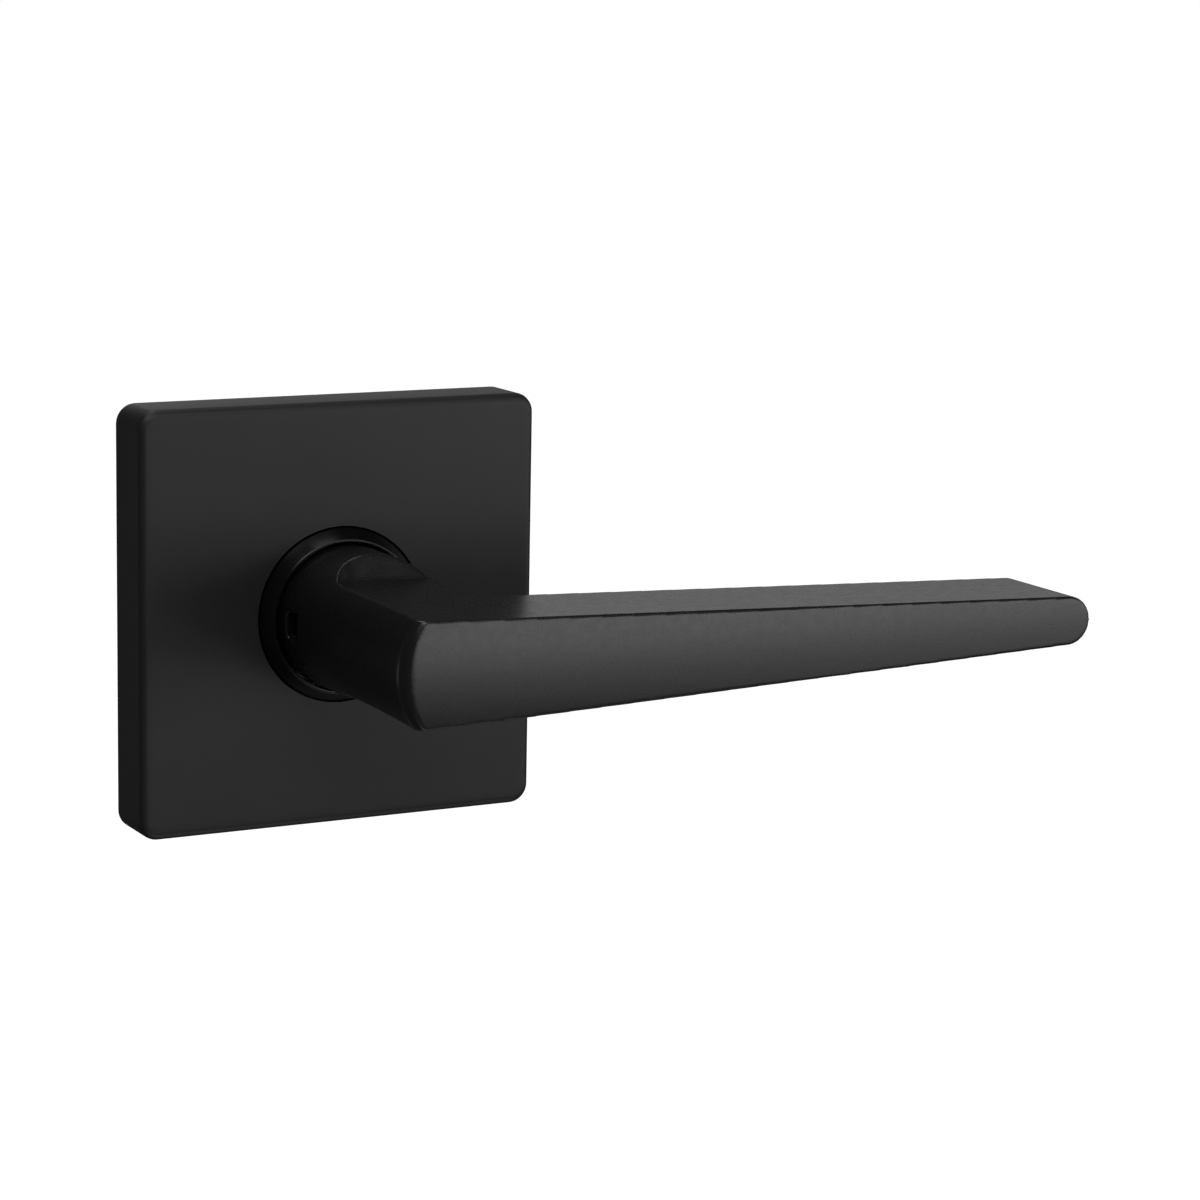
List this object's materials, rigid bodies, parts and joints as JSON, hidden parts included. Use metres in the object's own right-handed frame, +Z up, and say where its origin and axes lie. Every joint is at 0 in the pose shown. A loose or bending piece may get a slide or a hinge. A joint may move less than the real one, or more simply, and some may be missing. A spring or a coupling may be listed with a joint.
{
  "type": "door lever handle",
  "caption": "Door lever handle trim half: tapering flat-fronted lever with a round neck on a square rose, sprung drive tube, square spindle and threaded posts behind.",
  "frame": {"origin": "on the spindle axis, in the plane of the door's face that the rose and mounting plate sit against", "axes": "+Y runs into the door along the spindle, -Y out of the door to the hand, +X along the lever to its nose, +Z up"},
  "size_m": [0.1407, 0.1066, 0.0666],
  "materials": {
    "satin_black_painted_zinc": "satin black powder coat on die-cast zinc",
    "black_acetal": "moulded black acetal, semi-gloss",
    "zinc_plated_steel": "steel, clear zinc plated",
    "bare_zinc_casting": "bare die-cast zinc alloy",
    "bright_steel": "bright turned and blanked steel",
    "oiled_spring_steel": "hardened and oiled spring steel"
  },
  "bodies": {
    "base": {"rose": "satin_black_painted_zinc", "neck_bush": "black_acetal", "mounting_plate": "zinc_plated_steel", "upper_post": "zinc_plated_steel", "lower_post": "zinc_plated_steel", "spring_housing": "bare_zinc_casting", "housing_rivet_1": "bright_steel", "housing_rivet_2": "bright_steel", "housing_rivet_3": "bright_steel", "housing_rivet_4": "bright_steel", "thrust_washer": "bright_steel", "return_spring": "oiled_spring_steel"},
    "lever_assembly": {"lever": "satin_black_painted_zinc", "drive_tube": "zinc_plated_steel", "cam_plate": "zinc_plated_steel", "spindle": "zinc_plated_steel", "spindle_pin": "bright_steel", "retaining_ring": "oiled_spring_steel", "catch_spring": "oiled_spring_steel"},
    "catch": {"lever_catch": "oiled_spring_steel"}
  },
  "joints": [
    {"name": "lever_turn", "type": "hinge", "parent": "base", "child": "lever_assembly", "pos_m": [0, 0, 0], "axis": [0, 1, 0], "range_deg": [-45, 45], "stiffness_Nm_per_rad": 1.6, "springref_deg": -3.44, "deforming": ["return_spring"]},
    {"name": "catch_press", "type": "slide", "parent": "lever_assembly", "child": "catch", "axis": [1, 0, 0], "range_m": [0, 0.0024], "stiffness_N_per_m": 400, "springref_m": -0.002, "deforming": ["catch_spring"]}
  ]
}
